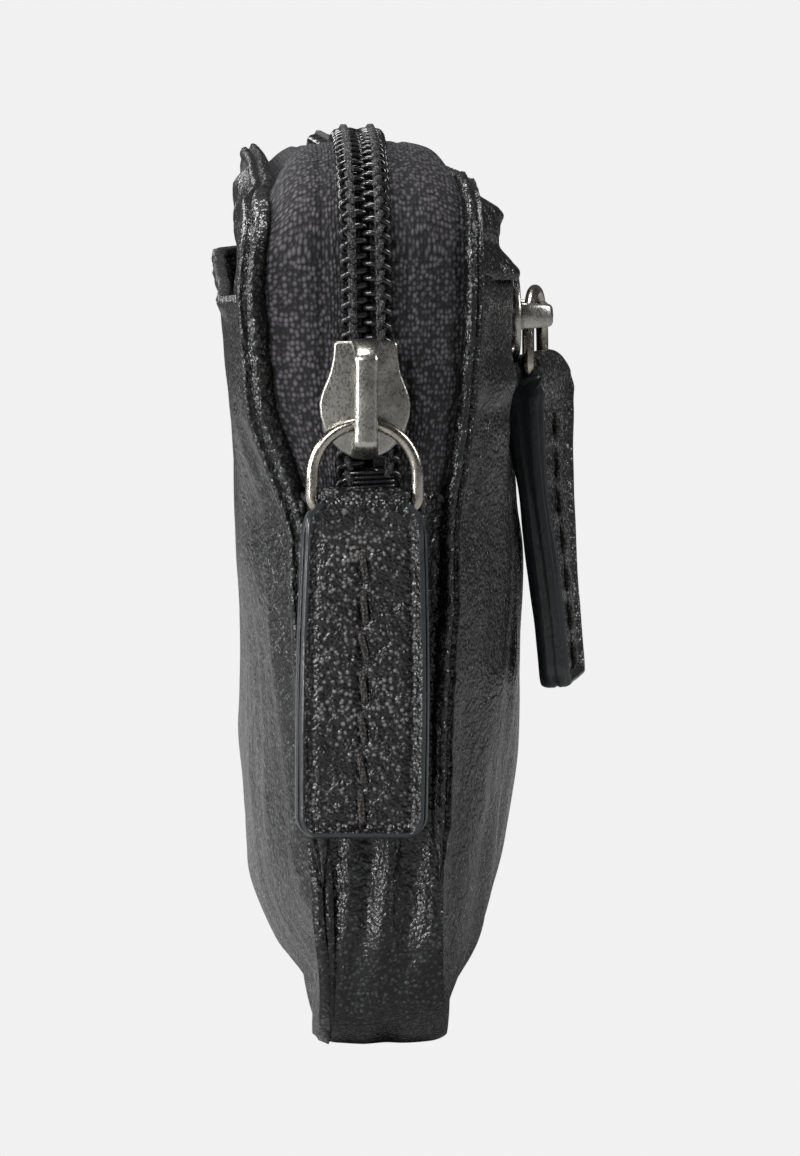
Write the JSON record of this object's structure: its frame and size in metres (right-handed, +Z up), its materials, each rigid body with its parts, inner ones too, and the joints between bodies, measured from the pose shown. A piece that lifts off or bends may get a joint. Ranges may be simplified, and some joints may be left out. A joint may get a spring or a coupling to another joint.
{
  "type": "key case",
  "caption": "Slim zipped leather key case with a curved top zip, a front zip pocket, a back slip pocket and leather zip pulls.",
  "frame": {"origin": "centre of the flat base under the gusset", "axes": "+Z up, X along the length with the pictured zip end at -X, the front zip pocket faces -Y"},
  "size_m": [0.1284, 0.033, 0.082],
  "materials": {
    "black_leather": "black grained leather with a soft satin sheen",
    "lining_cloth": "dark grey woven polyester lining",
    "zip_tape": "charcoal knitted zip tape",
    "zip_coil": "glossy black nylon coil",
    "antique_nickel": "antique nickel, worn bright on the edges",
    "nickel_wire": "smooth warm nickel wire",
    "thread": "grey-brown polyester thread"
  },
  "bodies": {
    "case": {"gusset": "black_leather", "gusset_lining": "lining_cloth", "back_panel": "black_leather", "slip_pocket_panel": "black_leather", "front_lower_panel": "black_leather", "front_upper_facing": "black_leather", "front_pocket_partition": "lining_cloth", "main_lining_back": "lining_cloth", "main_lining_front": "lining_cloth", "front_edge_binding": "black_leather", "back_edge_binding": "black_leather", "main_zip_tape_back": "zip_tape", "main_zip_tape_front": "zip_tape", "main_zip_coil_back": "zip_coil", "main_zip_coil_front": "zip_coil", "main_zip_stops": "antique_nickel", "front_zip_tape_upper": "zip_tape", "front_zip_tape_lower": "zip_tape", "front_zip_coil_upper": "zip_coil", "front_zip_coil_lower": "zip_coil", "front_zip_stops": "antique_nickel", "hem_stitches": "thread", "key_strap": "black_leather", "key_strap_rivet": "antique_nickel"},
    "main_slider": {"main_slider_body": "antique_nickel", "main_slider_bridge": "antique_nickel"},
    "main_ring": {"main_pull_ring": "nickel_wire"},
    "main_pull": {"main_pull_leather": "black_leather", "main_pull_stitching": "thread"},
    "front_slider": {"front_slider_body": "antique_nickel", "front_slider_bridge": "antique_nickel"},
    "front_ring": {"front_pull_ring": "nickel_wire"},
    "front_pull": {"front_pull_leather": "black_leather", "front_pull_stitching": "thread"},
    "key_ring": {"key_split_ring": "antique_nickel"}
  },
  "joints": [
    {"name": "main_slider_travel", "type": "slide", "parent": "case", "child": "main_slider", "axis": [0, 0, 1], "range_m": [0, 0.007]},
    {"name": "main_ring_swing", "type": "hinge", "parent": "main_slider", "child": "main_ring", "pos_m": [-0.0639, 0.0008, 0.0569], "axis": [0, 1, 0], "range_deg": [0, 115]},
    {"name": "main_pull_swing", "type": "hinge", "parent": "main_ring", "child": "main_pull", "pos_m": [-0.0639, 0.0008, 0.0494], "axis": [0, 1, 0], "range_deg": [0, 90]},
    {"name": "front_slider_travel", "type": "slide", "parent": "case", "child": "front_slider", "axis": [1, 0, 0], "range_m": [0, 0.08]},
    {"name": "front_ring_swing", "type": "hinge", "parent": "front_slider", "child": "front_ring", "pos_m": [-0.03734, -0.0161, 0.0649], "axis": [-1, 0, 0], "range_deg": [0, 10]},
    {"name": "front_pull_swing", "type": "hinge", "parent": "front_ring", "child": "front_pull", "pos_m": [-0.03734, -0.01541, 0.05942], "axis": [-0.9781, 0.2079, 0], "range_deg": [0, 90]},
    {"name": "key_ring_swing", "type": "hinge", "parent": "case", "child": "key_ring", "pos_m": [0.035, 0.00516, 0.0606], "axis": [-1, 0, 0], "range_deg": [-4, 20]}
  ]
}
